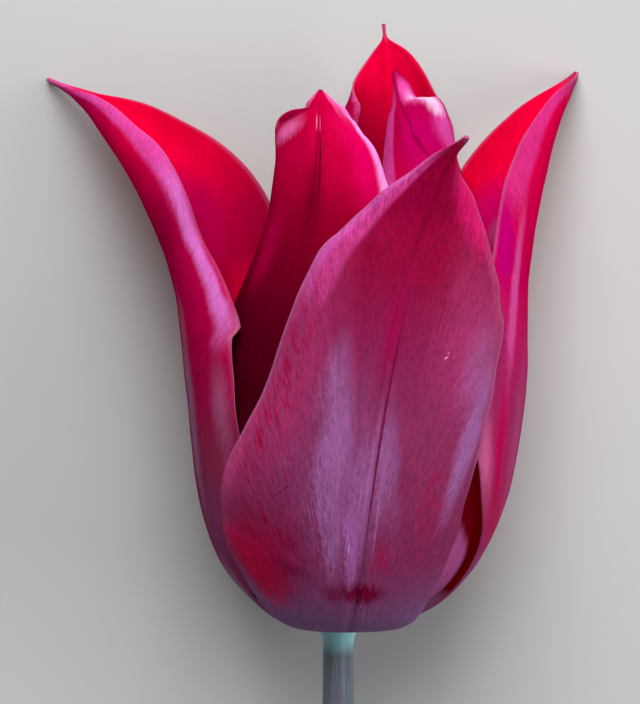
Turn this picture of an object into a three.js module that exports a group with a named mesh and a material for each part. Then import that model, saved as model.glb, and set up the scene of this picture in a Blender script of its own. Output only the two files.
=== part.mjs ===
// A single cut tulip of the lily-flowered kind, lying on its side on a flat surface.
// Millimetres. +Y runs from the stem's cut end to the petal tips, +Z is up, +X is the flower's right.
// Every shape below is drawn in the flower's own frame, whose origin is where the stem meets the
// petals. FLOWER_AT puts that frame in the part, so that the part stands on Z = 0.
import * as THREE from "three";

// Place of the flower's frame in the part.
const FLOWER_AT = [3.5, 41.9, 22.9];

// Petals: sheets that are bent along and across.
const PETAL_THICKNESS = 0.6;
const PETAL_STEPS_ALONG = 22;
const PETAL_STEPS_ACROSS = 14;
const ROLL_SHARPNESS = 5;

// Stem, with the receptacle that carries everything at its top.
const STEM_LENGTH = 165;
const STEM_RADIUS_TOP = 2.05;
const STEM_RADIUS_LOW = 2.3;
const STEM_SAG_LENGTH = 128;
const STEM_SIDE_BEND = 5;
const STEM_SIDES = 16;
const COLLAR_RADIUS = 2.7;
const DISC_RADIUS = 4.2;
const DISC_BOTTOM = 2.9;
const DISC_TOP = 3.5;

// Stamens: a filament and an anther each, in one ring around the pistil.
const STAMEN_FACINGS = [5, 65, 125, 185, 245, 305];
const STAMEN_RING_RADIUS = 3.45;
const FILAMENT_LENGTH = 9;
const FILAMENT_LEAN = 14;
const FILAMENT_FOOT_DEPTH = 0.6;
const ANTHER_LENGTH = 11;
const ANTHER_HALF_WIDTH = 1.35;
const ANTHER_HALF_DEPTH = 0.95;

// Pistil: a three-sided ovary under a three-lobed stigma.
const PISTIL_HEIGHT = 20;
const OVARY_RADIUS = 2.15;
const STIGMA_RADIUS = 3.1;

const SEAT_GAP = 0.3;

const petalFinish = { color: 0xa8144c, roughness: 0.5, metalness: 0 };
const stemFinish = { color: 0x6d7f78, roughness: 0.55, metalness: 0 };
const filamentFinish = { color: 0x3a2140, roughness: 0.5, metalness: 0 };
const antherFinish = { color: 0x2a1c2c, roughness: 0.8, metalness: 0 };
const pistilFinish = { color: 0xa9ad62, roughness: 0.55, metalness: 0 };

// Each petal is a list of stations along its midrib, from the claw to the tip. A station holds
// the midrib's point x, y, z, the way the outer face looks there in degrees (0 is up, + turns to
// the right), the sheet's width to the left and to the right of the midrib, the angle through
// which each of those halves curls towards the flower's inside, and the angle by which each
// margin rolls over further.
const petalStations = {
  petal_front: [
    [0.2, 0.6, 3.1, 4, 2.2, 2.2, 10, 10, 0, 0],
    [1, 0.1, 8.2, 4, 9.8, 9.6, 12, 6, 40, 55],
    [1.7, 2.2, 13.5, 4, 14.8, 10.8, 40, 32, 0, 0],
    [2.7, 8.5, 18.3, 5, 20.2, 13, 52, 38, 6, 0],
    [3.8, 18, 21.3, 7, 21, 14.8, 52, 36, 14, 6],
    [5.4, 29.5, 22.5, 9, 16.7, 17, 42, 40, 26, 16],
    [8, 43, 22.5, 12, 13.8, 18.6, 38, 46, 34, 20],
    [9.8, 49, 22.3, 13, 11, 15.8, 38, 46, 38, 20],
    [11.8, 55, 22.5, 14, 7.2, 9.8, 38, 45, 40, 20],
    [14, 61, 25, 16, 2.4, 1.4, 40, 40, 30, 10],
    [16.4, 64.3, 28.5, 18, 0.3, 0.3, 20, 20, 0, 0],
  ],
  petal_left: [
    [-3.1, 0.6, -0.3, -96, 2.2, 2.2, 10, 10, 0, 0],
    [-6.9, 0.8, -0.8, -96, 6.5, 6.5, 19, 19, 0, 0],
    [-11.5, 4.3, -1.3, -96, 10, 9.6, 28, 28, 0, 0],
    [-15.8, 10.1, -1.6, -96, 15, 14.2, 42, 41, 0, 0],
    [-18.7, 20.2, -1.8, -96, 18.5, 17.8, 48, 54, 0, 0],
    [-20, 33, -2.6, -98, 20, 18.3, 52, 55, 0, 10],
    [-21.2, 45, -4.8, -104, 20, 15.6, 68, 68, 0, 60],
    [-25.4, 56.5, -8.8, -112, 17.8, 12.6, 90, 90, 0, 60],
    [-31.6, 66.8, -14.5, -116, 9.5, 6, 95, 100, 0, 40],
    [-34.9, 71, -18, -119, 3, 2.2, 80, 80, 0, 20],
    [-39.8, 74.3, -22.5, -122, 0.3, 0.3, 40, 40, 0, 0],
  ],
  petal_right: [
    [3.1, 0.6, -0.4, 98, 2.2, 2.2, 10, 10, 0, 0],
    [7, 0.8, -1, 98, 3.4, 6.5, 6, 19, 0, 0],
    [12.8, 3.4, -1.6, 98, 3.4, 10, 6, 28, 0, 0],
    [18.6, 9.4, -2.2, 98, 7.2, 14.5, 22, 42, 0, 0],
    [22.8, 19.5, -2.8, 98, 16.3, 18, 52, 48, 0, 0],
    [24.6, 33, -3.6, 100, 19, 19, 60, 48, 10, 0],
    [24.8, 46, -5.8, 106, 14, 18, 68, 62, 30, 0],
    [26.5, 57.5, -9.5, 114, 11.7, 14, 90, 80, 40, 0],
    [29.3, 67.8, -14.5, 120, 5.9, 7, 95, 85, 30, 0],
    [32.8, 75.2, -22.5, 126, 0.3, 0.3, 40, 40, 0, 0],
  ],
  petal_inner_left: [
    [-2.2, 2.1, 2.2, -45, 2, 2, 10, 10, 0, 0],
    [-5, 2.1, 5.3, -45, 4.6, 6, 20, 20, 0, 0],
    [-8.5, 6.1, 8.9, -45, 8.8, 10.5, 40, 34, 0, 0],
    [-11.3, 13, 12.3, -45, 13.6, 14.5, 53, 46, 0, 0],
    [-11.8, 26, 13.8, -44, 17, 16.5, 56, 54, 0, 0],
    [-8.6, 40, 14, -36, 16, 15.6, 66, 60, 0, 20],
    [-4.6, 53, 13.6, -24, 14.1, 14.2, 98, 56, 0, 40],
    [-3, 61.5, 12.4, -12, 12.6, 10.8, 110, 52, 0, 50],
    [-2.65, 66, 11.7, -7, 11.9, 7, 108, 46, 0, 42],
    [-2.6, 67.8, 11.4, -6, 11, 4.9, 107, 43, 0, 25],
    [-2.55, 68.6, 11.35, -6, 3.4, 3.9, 80, 36, 0, 0],
    [-2.5, 69.6, 11.3, -6, 1.7, 2.6, 40, 30, 0, 0],
    [-2.3, 71.2, 11.1, -6, 0.25, 0.25, 20, 20, 0, 0],
  ],
  petal_inner_right: [
    [2.7, 2.1, 1.6, 60, 2, 2, 10, 10, 0, 0],
    [6.2, 2.1, 3.2, 60, 6, 6, 20, 20, 0, 0],
    [12.4, 5.3, 5.4, 60, 10.5, 9.3, 34, 36, 0, 0],
    [16.5, 12.8, 7.9, 60, 14.5, 13.4, 46, 48, 0, 0],
    [19, 26, 9.6, 58, 15.5, 17, 52, 52, 0, 0],
    [18.4, 40, 9, 52, 12.8, 17, 60, 60, 0, 0],
    [14.6, 53, 7.8, 40, 10.6, 16, 64, 78, 0, 0],
    [10.8, 62.5, 6.4, 26, 5.6, 15.6, 60, 96, 0, 0],
    [9.4, 66.9, 5.8, 20, 3.2, 14.4, 50, 96, 0, 0],
    [8.9, 68.7, 5.5, 18, 2.2, 13.2, 50, 94, 0, 0],
    [8.6, 69.5, 5.4, 17, 1.6, 9.6, 45, 84, 0, 0],
    [8.4, 70.1, 5.3, 16, 1.2, 3.4, 40, 55, 0, 0],
    [7.9, 72.2, 5, 16, 0.7, 1.8, 30, 35, 0, 0],
    [7.3, 74, 4.8, 16, 0.25, 0.25, 20, 20, 0, 0],
  ],
  petal_back: [
    [0, 2.1, -3.1, 182, 2, 2, 10, 10, 0, 0],
    [0.8, 2.1, -7, 182, 6, 6, 20, 20, 0, 0],
    [1.4, 5.8, -12.8, 182, 10, 10.5, 34, 34, 0, 0],
    [2, 13, -17, 182, 14.1, 14.5, 46, 46, 0, 0],
    [2.8, 26, -19.6, 182, 17, 17, 56, 54, 0, 0],
    [3.4, 40, -18.6, 182, 17, 17, 60, 58, 0, 0],
    [5, 54, -15.2, 182, 16.2, 14, 56, 64, 0, 0],
    [6, 65, -12, 182, 11.6, 12, 58, 76, 0, 190],
    [6.4, 69.5, -11, 182, 9.8, 9.6, 52, 68, 0, 200],
    [6.6, 73.2, -10.3, 182, 6.7, 5.6, 43, 58, 0, 20],
    [6.5, 77.2, -10, 182, 3.3, 2, 25, 30, 0, 0],
    [6.4, 79.2, -9.9, 182, 0.45, 0.4, 20, 20, 0, 0],
    [6.2, 81.2, -9.8, 182, 0.2, 0.2, 20, 20, 0, 0],
  ],
};

const radians = THREE.MathUtils.degToRad;

// One station at any place along a petal: a smooth curve through the listed stations.
function stationAt(stations, part) {
  const last = stations.length - 1;
  const place = Math.min(Math.max(part, 0), 1) * last;
  const before = Math.min(Math.floor(place), last - 1);
  const f = place - before;
  const p1 = stations[before];
  const p2 = stations[before + 1];
  const p0 = before > 0 ? stations[before - 1] : p1.map((v, i) => 2 * v - p2[i]);
  const p3 = before < last - 1 ? stations[before + 2] : p2.map((v, i) => 2 * v - p1[i]);
  return p1.map((v, i) => {
    const slope = (p2[i] - p0[i]) * f;
    const bend = (2 * p0[i] - 5 * v + 4 * p2[i] - p3[i]) * f * f;
    const turn = (-p0[i] + 3 * v - 3 * p2[i] + p3[i]) * f * f * f;
    return 0.5 * (2 * v + slope + bend + turn);
  });
}

// The row of points across the petal's middle surface at one place along it, left to right.
function petalRow(stations, part) {
  const here = stationAt(stations, part);
  const ahead = stationAt(stations, part + 1e-3);
  const behind = stationAt(stations, part - 1e-3);
  const midrib = new THREE.Vector3(here[0], here[1], here[2]);
  const along = new THREE.Vector3(ahead[0] - behind[0], ahead[1] - behind[1], ahead[2] - behind[2]);
  along.normalize();
  const facing = radians(here[3]);
  const right = new THREE.Vector3(Math.cos(facing), 0, -Math.sin(facing));
  right.addScaledVector(along, -right.dot(along)).normalize();
  const inward = new THREE.Vector3().crossVectors(along, right);

  const half = PETAL_STEPS_ACROSS / 2;
  const finer = 4;
  const row = [midrib];
  for (const side of [-1, 1]) {
    const width = side < 0 ? here[4] : here[5];
    const curl = radians(side < 0 ? here[6] : here[7]);
    const roll = radians(side < 0 ? here[8] : here[9]);
    const step = width / (half * finer);
    const point = midrib.clone();
    for (let k = 1; k <= half * finer; k += 1) {
      const way = (k - 0.5) / (half * finer);
      const turned = curl * way + roll * way ** ROLL_SHARPNESS;
      point.addScaledVector(right, side * step * Math.cos(turned));
      point.addScaledVector(inward, step * Math.sin(turned));
      if (k % finer > 0) continue;
      if (side < 0) row.unshift(point.clone());
      else row.push(point.clone());
    }
  }
  return row;
}

// A closed surface from triangles given as point numbers.
function solidFrom(points, triangles, finish) {
  const geometry = new THREE.BufferGeometry().setFromPoints(points);
  geometry.setIndex(triangles);
  geometry.computeVertexNormals();
  return new THREE.Mesh(geometry, new THREE.MeshStandardMaterial(finish));
}

// A petal: the middle surface moved out and in by half the thickness, closed along its rim.
function petalMesh(stations) {
  const rows = [];
  for (let i = 0; i <= PETAL_STEPS_ALONG; i += 1) {
    rows.push(petalRow(stations, i / PETAL_STEPS_ALONG));
  }
  const columns = PETAL_STEPS_ACROSS + 1;
  const outer = [];
  const inner = [];
  rows.forEach((row, i) => {
    const below = rows[Math.max(i - 1, 0)];
    const above = rows[Math.min(i + 1, rows.length - 1)];
    row.forEach((point, j) => {
      const acrossStep = new THREE.Vector3().subVectors(
        row[Math.min(j + 1, columns - 1)],
        row[Math.max(j - 1, 0)],
      );
      const alongStep = new THREE.Vector3().subVectors(above[j], below[j]);
      const outward = acrossStep.cross(alongStep).normalize();
      outer.push(point.clone().addScaledVector(outward, PETAL_THICKNESS / 2));
      inner.push(point.clone().addScaledVector(outward, -PETAL_THICKNESS / 2));
    });
  });

  const triangles = [];
  const insideStart = outer.length;
  const cell = (a, b, c, d) => triangles.push(a, b, c, a, c, d);
  for (let i = 0; i < PETAL_STEPS_ALONG; i += 1) {
    for (let j = 0; j < PETAL_STEPS_ACROSS; j += 1) {
      const a = i * columns + j;
      const b = a + 1;
      const c = b + columns;
      const d = a + columns;
      cell(a, b, c, d);
      cell(d + insideStart, c + insideStart, b + insideStart, a + insideStart);
    }
  }
  const rim = [];
  for (let j = 0; j < PETAL_STEPS_ACROSS; j += 1) rim.push(j);
  for (let i = 0; i < PETAL_STEPS_ALONG; i += 1) rim.push(i * columns + PETAL_STEPS_ACROSS);
  for (let j = PETAL_STEPS_ACROSS; j > 0; j -= 1) rim.push(PETAL_STEPS_ALONG * columns + j);
  for (let i = PETAL_STEPS_ALONG; i > 0; i -= 1) rim.push(i * columns);
  rim.forEach((a, k) => {
    const b = rim[(k + 1) % rim.length];
    cell(b, a, a + insideStart, b + insideStart);
  });
  return solidFrom([...outer, ...inner], triangles, petalFinish);
}

// A closed body through rings of points that all turn the same way, with a flat cap at each end.
function loftMesh(rings, finish) {
  const sides = rings[0].length;
  const points = rings.flat();
  const triangles = [];
  for (let i = 0; i < rings.length - 1; i += 1) {
    for (let j = 0; j < sides; j += 1) {
      const a = i * sides + j;
      const b = i * sides + ((j + 1) % sides);
      triangles.push(a, b, b + sides, a, b + sides, a + sides);
    }
  }
  for (const end of [0, rings.length - 1]) {
    const middle = new THREE.Vector3();
    rings[end].forEach((point) => middle.addScaledVector(point, 1 / sides));
    const centre = points.length;
    points.push(middle);
    for (let j = 0; j < sides; j += 1) {
      const a = end * sides + j;
      const b = end * sides + ((j + 1) % sides);
      if (end === 0) triangles.push(centre, b, a);
      else triangles.push(centre, a, b);
    }
  }
  return solidFrom(points, triangles, finish);
}

// A ring of points around a centre, square to the given direction. reach gives the distance
// from the centre for each angle, side and depth being the ring's own two directions.
function ringAround(centre, direction, side, sides, reach) {
  const depth = new THREE.Vector3().crossVectors(direction, side).normalize();
  const across = new THREE.Vector3().crossVectors(depth, direction).normalize();
  const ring = [];
  for (let k = 0; k < sides; k += 1) {
    const angle = (2 * Math.PI * k) / sides;
    const [wide, deep] = reach(angle);
    ring.push(
      centre
        .clone()
        .addScaledVector(across, wide * Math.cos(angle))
        .addScaledVector(depth, deep * Math.sin(angle)),
    );
  }
  return ring;
}

const smooth = (f) => {
  const g = Math.min(Math.max(f, 0), 1);
  return g * g * (3 - 2 * g);
};

// The stem's centre line leaves the petals level and sags until it lies on the surface.
function stemCentre(y) {
  const sag = smooth(-y / STEM_SAG_LENGTH);
  const bend = Math.min(y, 0) / STEM_LENGTH;
  return new THREE.Vector3(
    -STEM_SIDE_BEND * bend * bend,
    y,
    -(FLOWER_AT[2] - STEM_RADIUS_LOW) * sag,
  );
}

function stemMesh() {
  const levels = [];
  for (let k = 0; k <= 24; k += 1) {
    const y = -STEM_LENGTH + ((STEM_LENGTH - 2.4) * k) / 24;
    const low = smooth(-y / STEM_SAG_LENGTH);
    levels.push([y, THREE.MathUtils.lerp(STEM_RADIUS_TOP, STEM_RADIUS_LOW, low)]);
  }
  levels.push([-1.2, STEM_RADIUS_TOP + 0.1]);
  levels.push([-0.5, STEM_RADIUS_TOP + 0.3]);
  levels.push([0, COLLAR_RADIUS]);
  levels.push([DISC_BOTTOM, COLLAR_RADIUS]);
  levels.push([DISC_BOTTOM + 0.1, DISC_RADIUS]);
  levels.push([DISC_TOP, DISC_RADIUS]);
  const sideways = new THREE.Vector3(1, 0, 0);
  const rings = levels.map(([y, radius]) => {
    const direction = stemCentre(y + 0.5).sub(stemCentre(y - 0.5)).normalize();
    if (y > -3) direction.set(0, 1, 0);
    return ringAround(stemCentre(y), direction, sideways, STEM_SIDES, () => [radius, radius]);
  });
  return loftMesh(rings, stemFinish);
}

// A point on a stamen's line: so far along it from the receptacle's disc, for one facing.
function stamenPoint(facing, distance) {
  const out = STAMEN_RING_RADIUS + distance * Math.sin(radians(FILAMENT_LEAN));
  const foot = DISC_TOP + SEAT_GAP + FILAMENT_FOOT_DEPTH * Math.sin(radians(FILAMENT_LEAN));
  const y = foot + distance * Math.cos(radians(FILAMENT_LEAN));
  return new THREE.Vector3(
    out * Math.sin(radians(facing)),
    y,
    out * Math.cos(radians(facing)),
  );
}

function stamenBody(facing, profile, finish) {
  const direction = stamenPoint(facing, 1).sub(stamenPoint(facing, 0)).normalize();
  const sideways = new THREE.Vector3(Math.cos(radians(facing)), 0, -Math.sin(radians(facing)));
  const rings = profile.map(([distance, wide, deep]) =>
    ringAround(stamenPoint(facing, distance), direction, sideways, 10, () => [wide, deep]),
  );
  return loftMesh(rings, finish);
}

function filamentMesh(facing) {
  const profile = [
    [0, 0.7, FILAMENT_FOOT_DEPTH],
    [FILAMENT_LENGTH * 0.15, 0.85, 0.62],
    [FILAMENT_LENGTH * 0.5, 0.7, 0.5],
    [FILAMENT_LENGTH * 0.85, 0.4, 0.34],
    [FILAMENT_LENGTH, 0.22, 0.22],
  ];
  return stamenBody(facing, profile, filamentFinish);
}

function antherMesh(facing) {
  const start = FILAMENT_LENGTH + SEAT_GAP;
  const profile = [0, 0.04, 0.15, 0.4, 0.7, 0.9, 0.97, 1].map((f) => {
    const full = Math.pow(Math.max(1 - Math.pow(Math.abs(2 * f - 1), 3.2), 0.03), 0.5);
    return [start + f * ANTHER_LENGTH, ANTHER_HALF_WIDTH * full, ANTHER_HALF_DEPTH * full];
  });
  return stamenBody(facing, profile, antherFinish);
}

function pistilMesh() {
  const foot = DISC_TOP + SEAT_GAP;
  const ovaryTop = foot + PISTIL_HEIGHT * 0.82;
  const top = foot + PISTIL_HEIGHT;
  const up = new THREE.Vector3(0, 1, 0);
  const sideways = new THREE.Vector3(1, 0, 0);
  // Height, mean radius, and how strongly the outline is drawn out into three lobes.
  const levels = [
    [foot, OVARY_RADIUS * 0.8, 0.04],
    [foot + 1.5, OVARY_RADIUS * 0.98, 0.07],
    [foot + 6, OVARY_RADIUS, 0.1],
    [foot + 12, OVARY_RADIUS * 0.94, 0.1],
    [ovaryTop, OVARY_RADIUS * 0.78, 0.1],
    [ovaryTop + 1.1, STIGMA_RADIUS * 0.78, 0.26],
    [ovaryTop + 2.2, STIGMA_RADIUS * 0.86, 0.34],
    [top - 0.5, STIGMA_RADIUS * 0.7, 0.36],
    [top, STIGMA_RADIUS * 0.4, 0.3],
  ];
  const rings = levels.map(([y, radius, lobes]) =>
    ringAround(new THREE.Vector3(0, y, 0), up, sideways, 24, (angle) => {
      const reach = radius * (1 + lobes * Math.cos(3 * angle));
      return [reach, reach];
    }),
  );
  return loftMesh(rings, pistilFinish);
}

const flower = new THREE.Group();
flower.position.set(...FLOWER_AT);

function addNode(name, mesh) {
  mesh.name = name;
  flower.add(mesh);
}

addNode("stem", stemMesh());
for (const [name, stations] of Object.entries(petalStations)) addNode(name, petalMesh(stations));
STAMEN_FACINGS.forEach((facing, k) => {
  addNode(`filament_${k + 1}`, filamentMesh(facing));
  addNode(`anther_${k + 1}`, antherMesh(facing));
});
addNode("pistil", pistilMesh());

const tulip = new THREE.Group();
tulip.name = "cut_tulip";
tulip.add(flower);

export default tulip;
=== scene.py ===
import bmesh
import bpy
import numpy as np
from mathutils import Matrix, Vector, noise


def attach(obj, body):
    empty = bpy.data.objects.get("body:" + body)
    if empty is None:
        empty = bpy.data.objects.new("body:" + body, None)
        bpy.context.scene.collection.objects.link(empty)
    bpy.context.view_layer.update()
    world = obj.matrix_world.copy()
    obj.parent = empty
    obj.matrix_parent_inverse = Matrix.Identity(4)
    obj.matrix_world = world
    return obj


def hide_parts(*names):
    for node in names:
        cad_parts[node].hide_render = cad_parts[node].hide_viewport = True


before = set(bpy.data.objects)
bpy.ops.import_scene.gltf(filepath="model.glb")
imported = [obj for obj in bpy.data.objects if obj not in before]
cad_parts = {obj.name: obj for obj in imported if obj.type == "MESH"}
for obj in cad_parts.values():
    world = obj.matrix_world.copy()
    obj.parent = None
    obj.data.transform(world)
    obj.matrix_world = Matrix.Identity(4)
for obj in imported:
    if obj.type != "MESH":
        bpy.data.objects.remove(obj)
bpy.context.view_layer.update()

# Lengths are in millimetres in the bloom's own frame: x to the right, y from the stem up to the
# tips, z towards the viewer. Its zero is where the stem meets the petals.
BLOOM_AT = np.array([3.5, 41.9, 22.9])
MM = 0.001


def placed(points):
    """Points of the bloom's frame, in metres in the part's frame."""
    return (np.asarray(points, float) + BLOOM_AT) * MM


# The shape of the petals

# A station holds the midrib's x, y and z, the way the outer face looks (0 to the viewer, + to
# the right), then for the left and the right half, as seen from outside: the widths, the turn
# from the midrib to the margin, and how much further the margin itself rolls over.
PETAL_STATIONS = {
    "petal_front": [
        (0.2, 0.6, 3.1, 4, 2.2, 2.2, 10, 10, 0, 0),
        (1.0, 0.1, 8.2, 4, 9.8, 9.6, 12, 6, 40, 55),
        (1.7, 2.2, 13.5, 4, 14.8, 10.8, 40, 32, 0, 0),
        (2.7, 8.5, 18.3, 5, 20.2, 13.0, 52, 38, 6, 0),
        (3.8, 18.0, 21.3, 7, 21.0, 14.8, 52, 36, 14, 6),
        (5.4, 29.5, 22.5, 9, 16.7, 17.0, 42, 40, 26, 16),
        (8.0, 43.0, 22.5, 12, 13.8, 18.6, 38, 46, 34, 20),
        (9.8, 49.0, 22.3, 13, 11.0, 15.8, 38, 46, 38, 20),
        (11.8, 55.0, 22.5, 14, 7.2, 9.8, 38, 45, 40, 20),
        (14.0, 61.0, 25.0, 16, 2.4, 1.4, 40, 40, 30, 10),
        (16.4, 64.3, 28.5, 18, 0.3, 0.3, 20, 20, 0, 0),
    ],
    "petal_left": [
        (-3.1, 0.6, -0.3, -96, 2.2, 2.2, 10, 10, 0, 0),
        (-6.9, 0.8, -0.8, -96, 6.5, 6.5, 19, 19, 0, 0),
        (-11.5, 4.3, -1.3, -96, 10.0, 9.6, 28, 28, 0, 0),
        (-15.8, 10.1, -1.6, -96, 15.0, 14.2, 42, 41, 0, 0),
        (-18.7, 20.2, -1.8, -96, 18.5, 17.8, 48, 54, 0, 0),
        (-20.0, 33.0, -2.6, -98, 20.0, 18.3, 52, 55, 0, 10),
        (-21.2, 45.0, -4.8, -104, 20.0, 15.6, 68, 68, 0, 60),
        (-25.4, 56.5, -8.8, -112, 17.8, 12.6, 90, 90, 0, 60),
        (-31.6, 66.8, -14.5, -116, 9.5, 6.0, 95, 100, 0, 40),
        (-34.9, 71.0, -18.0, -119, 3.0, 2.2, 80, 80, 0, 20),
        (-39.8, 74.3, -22.5, -122, 0.3, 0.3, 40, 40, 0, 0),
    ],
    "petal_right": [
        (3.1, 0.6, -0.4, 98, 2.2, 2.2, 10, 10, 0, 0),
        (7.0, 0.8, -1.0, 98, 3.4, 6.5, 6, 19, 0, 0),
        (12.8, 3.4, -1.6, 98, 3.4, 10.0, 6, 28, 0, 0),
        (18.6, 9.4, -2.2, 98, 7.2, 14.5, 22, 42, 0, 0),
        (22.8, 19.5, -2.8, 98, 16.3, 18.0, 52, 48, 0, 0),
        (24.6, 33.0, -3.6, 100, 19.0, 19.0, 60, 48, 10, 0),
        (24.8, 46.0, -5.8, 106, 14.0, 18.0, 68, 62, 30, 0),
        (26.5, 57.5, -9.5, 114, 11.7, 14.0, 90, 80, 40, 0),
        (29.3, 67.8, -14.5, 120, 5.9, 7.0, 95, 85, 30, 0),
        (32.8, 75.2, -22.5, 126, 0.3, 0.3, 40, 40, 0, 0),
    ],
    "petal_inner_left": [
        (-2.2, 2.1, 2.2, -45, 2.0, 2.0, 10, 10, 0, 0),
        (-5.0, 2.1, 5.3, -45, 4.6, 6.0, 20, 20, 0, 0),
        (-8.5, 6.1, 8.9, -45, 8.8, 10.5, 40, 34, 0, 0),
        (-11.3, 13.0, 12.3, -45, 13.6, 14.5, 53, 46, 0, 0),
        (-11.8, 26.0, 13.8, -44, 17.0, 16.5, 56, 54, 0, 0),
        (-8.6, 40.0, 14.0, -36, 16.0, 15.6, 66, 60, 0, 20),
        (-4.6, 53.0, 13.6, -24, 14.1, 14.2, 98, 56, 0, 40),
        (-3.0, 61.5, 12.4, -12, 12.6, 10.8, 110, 52, 0, 50),
        (-2.65, 66.0, 11.7, -7, 11.9, 7.0, 108, 46, 0, 42),
        (-2.6, 67.8, 11.4, -6, 11.0, 4.9, 107, 43, 0, 25),
        (-2.55, 68.6, 11.35, -6, 3.4, 3.9, 80, 36, 0, 0),
        (-2.5, 69.6, 11.3, -6, 1.7, 2.6, 40, 30, 0, 0),
        (-2.3, 71.2, 11.1, -6, 0.25, 0.25, 20, 20, 0, 0),
    ],
    "petal_inner_right": [
        (2.7, 2.1, 1.6, 60, 2.0, 2.0, 10, 10, 0, 0),
        (6.2, 2.1, 3.2, 60, 6.0, 6.0, 20, 20, 0, 0),
        (12.4, 5.3, 5.4, 60, 10.5, 9.3, 34, 36, 0, 0),
        (16.5, 12.8, 7.9, 60, 14.5, 13.4, 46, 48, 0, 0),
        (19.0, 26.0, 9.6, 58, 15.5, 17.0, 52, 52, 0, 0),
        (18.4, 40.0, 9.0, 52, 12.8, 17.0, 60, 60, 0, 0),
        (14.6, 53.0, 7.8, 40, 10.6, 16.0, 64, 78, 0, 0),
        (10.8, 62.5, 6.4, 26, 5.6, 15.6, 60, 96, 0, 0),
        (9.4, 66.9, 5.8, 20, 3.2, 14.4, 50, 96, 0, 0),
        (8.9, 68.7, 5.5, 18, 2.2, 13.2, 50, 94, 0, 0),
        (8.6, 69.5, 5.4, 17, 1.6, 9.6, 45, 84, 0, 0),
        (8.4, 70.1, 5.3, 16, 1.2, 3.4, 40, 55, 0, 0),
        (7.9, 72.2, 5.0, 16, 0.7, 1.8, 30, 35, 0, 0),
        (7.3, 74.0, 4.8, 16, 0.25, 0.25, 20, 20, 0, 0),
    ],
    "petal_back": [
        (0.0, 2.1, -3.1, 182, 2.0, 2.0, 10, 10, 0, 0),
        (0.8, 2.1, -7.0, 182, 6.0, 6.0, 20, 20, 0, 0),
        (1.4, 5.8, -12.8, 182, 10.0, 10.5, 34, 34, 0, 0),
        (2.0, 13.0, -17.0, 182, 14.1, 14.5, 46, 46, 0, 0),
        (2.8, 26.0, -19.6, 182, 17.0, 17.0, 56, 54, 0, 0),
        (3.4, 40.0, -18.6, 182, 17.0, 17.0, 60, 58, 0, 0),
        (5.0, 54.0, -15.2, 182, 16.2, 14.0, 56, 64, 0, 0),
        (6.0, 65.0, -12.0, 182, 11.6, 12.0, 58, 76, 0, 190),
        (6.4, 69.5, -11.0, 182, 9.8, 9.6, 52, 68, 0, 200),
        (6.6, 73.2, -10.3, 182, 6.7, 5.6, 43, 58, 0, 20),
        (6.5, 77.2, -10.0, 182, 3.3, 2.0, 25, 30, 0, 0),
        (6.4, 79.2, -9.9, 182, 0.45, 0.4, 20, 20, 0, 0),
        (6.2, 81.2, -9.8, 182, 0.2, 0.2, 20, 20, 0, 0),
    ],
}
FACING_COLUMN = 3

# Which way each half goes from the midrib, and the columns with its width, turn and roll.
HALVES = {"left": (-1, 4, 6, 8), "right": (1, 5, 7, 9)}
# A nip is a short change along one margin: the half, the midrib's y there, how far it reaches
# down and up, how much wider it makes the half, and how much it adds to the roll.
MARGIN_NIPS = {
    "petal_left": [("right", 37.2, 0.7, 3.0, 1.2, 30), ("right", 48.5, 5.0, 5.0, -3.4, 10)],
}
ROLL_SHARPNESS = 5
CELLS_ACROSS = 96
CELLS_ALONG = 200
STEPS_PER_CELL = 3
NARROWEST_HALF = 0.05
SLOPE_STEP = 1e-3
# For each mm up the petal, the veins spread by this part of their distance from the midrib.
VEIN_SPREAD = 0.04


def stations_at(stations, part):
    """The stations' smooth curve, at places from 0 (claw) to 1 (tip)."""
    rows = np.asarray(stations, float)
    last = len(rows) - 1
    place = np.clip(part, 0, 1) * last
    before = np.minimum(place.astype(int), last - 1)
    f = (place - before)[:, None]
    p1 = rows[before]
    p2 = rows[before + 1]
    p0 = np.where((before > 0)[:, None], rows[np.maximum(before - 1, 0)], 2 * p1 - p2)
    p3 = np.where((before < last - 1)[:, None], rows[np.minimum(before + 2, last)], 2 * p2 - p1)
    slope = (p2 - p0) * f
    bend = (2 * p0 - 5 * p1 + 4 * p2 - p3) * f**2
    turn = (-p0 + 3 * p1 - 3 * p2 + p3) * f**3
    return 0.5 * (2 * p1 + slope + bend + turn)


def unit(vectors):
    return vectors / np.maximum(np.linalg.norm(vectors, axis=-1, keepdims=True), 1e-9)


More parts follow.
